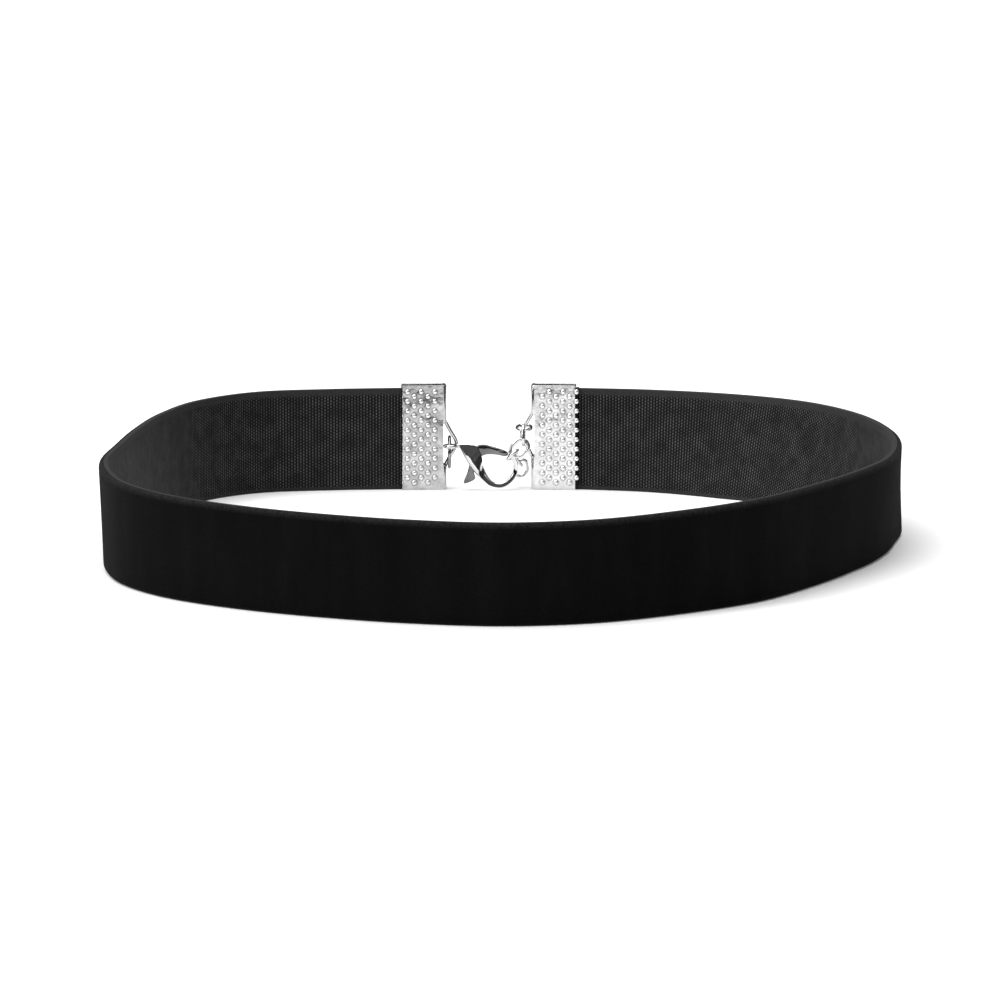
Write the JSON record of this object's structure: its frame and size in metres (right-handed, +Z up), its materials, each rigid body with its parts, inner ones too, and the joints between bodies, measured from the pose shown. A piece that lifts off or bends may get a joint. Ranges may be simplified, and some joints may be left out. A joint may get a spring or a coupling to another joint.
{
  "type": "choker necklace",
  "caption": "Black velvet ribbon choker with dotted metal ribbon clamps, a lobster clasp and a short extension chain, closed into its worn loop.",
  "frame": {"origin": "under the middle of the necklace's box, at the level that its lower edge rests on", "axes": "+Z up, from the ribbon's lower edge to its upper edge; +Y from the plain front to the closure at the back; +X to the right as seen from the front"},
  "size_m": [0.0792, 0.1, 0.0106],
  "materials": {
    "velvet": "matte pile",
    "silver": "polished",
    "dark_steel": "polished"
  },
  "bodies": {
    "choker": {"velvet_ribbon": "velvet", "left_ribbon_clamp": "silver", "right_ribbon_clamp": "silver", "jump_ring": "silver", "clasp_body": "dark_steel", "clasp_pin": "dark_steel", "chain_link_1": "silver", "chain_link_2": "silver", "chain_link_3": "silver", "chain_link_4": "silver", "chain_link_5": "silver", "chain_link_6": "silver"},
    "lever": {"clasp_lever": "dark_steel"}
  },
  "joints": [
    {"name": "lever_hinge", "type": "hinge", "parent": "choker", "child": "lever", "pos_m": [-0.00277, 0.04698, 0.00388], "axis": [0, 1, 0], "range_deg": [0, 25], "stiffness_Nm_per_rad": 0.0005}
  ]
}
